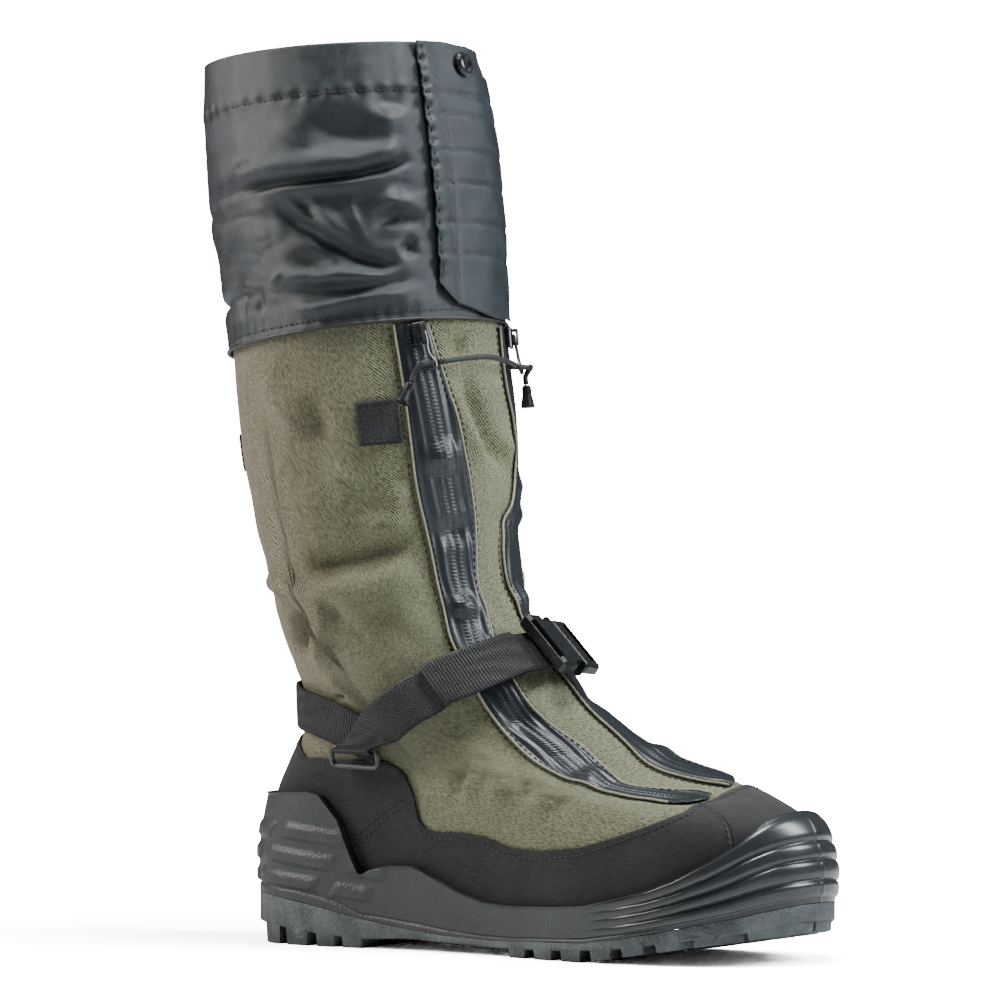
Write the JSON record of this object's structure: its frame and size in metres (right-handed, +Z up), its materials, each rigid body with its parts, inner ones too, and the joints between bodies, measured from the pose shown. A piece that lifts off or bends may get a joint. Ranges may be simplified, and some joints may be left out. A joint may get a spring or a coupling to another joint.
{
  "type": "winter overshoe",
  "caption": "Right rubber-shelled winter overshoe with a tall olive canvas shaft, nylon collar, front zips, ribbed rubber toe and a buckled instep strap.",
  "frame": {"origin": "centre of the heel's tread, on the floor under the shaft", "axes": "+X towards the toe, +Y towards the wearer's inner side, +Z up"},
  "size_m": [0.3783, 0.1532, 0.4804],
  "materials": {
    "rubber": "pebbled black moulded rubber",
    "shell_rubber": "satin dark grey moulded rubber",
    "foam": "dark foam footbed",
    "canvas": "coarse olive twill",
    "softshell": "matt black brushed cloth",
    "nylon": "coated blue-grey nylon with a sheen",
    "zip_tape": "satin coated zip tape",
    "webbing": "ribbed black webbing",
    "acetal": "black moulded plastic",
    "enamel": "black enamelled metal",
    "cord": "black braided cord"
  },
  "bodies": {
    "root": {"outsole": "rubber", "shell": "shell_rubber", "insole": "foam", "upper": "canvas", "rand": "softshell", "toe_cap": "softshell", "collar": "nylon", "front_flap": "nylon", "zip_tape_lateral": "zip_tape", "zip_tape_medial": "zip_tape", "back_tape": "webbing", "hook_patch_lateral": "webbing", "hook_patch_back": "webbing", "strap_heel": "webbing", "strap_keeper": "webbing", "strap_front_lateral": "webbing", "strap_front_medial": "webbing", "strap_tail": "webbing", "ring_lateral": "enamel", "ring_medial": "enamel", "buckle_socket": "acetal", "buckle_plug": "acetal", "snap_cap": "acetal", "slider_lateral": "enamel", "slider_medial": "enamel", "pull_lateral": "enamel", "pull_medial": "enamel", "pull_cord": "cord", "cord_end_lateral": "acetal", "cord_end_medial": "acetal"}
  },
  "joints": []
}
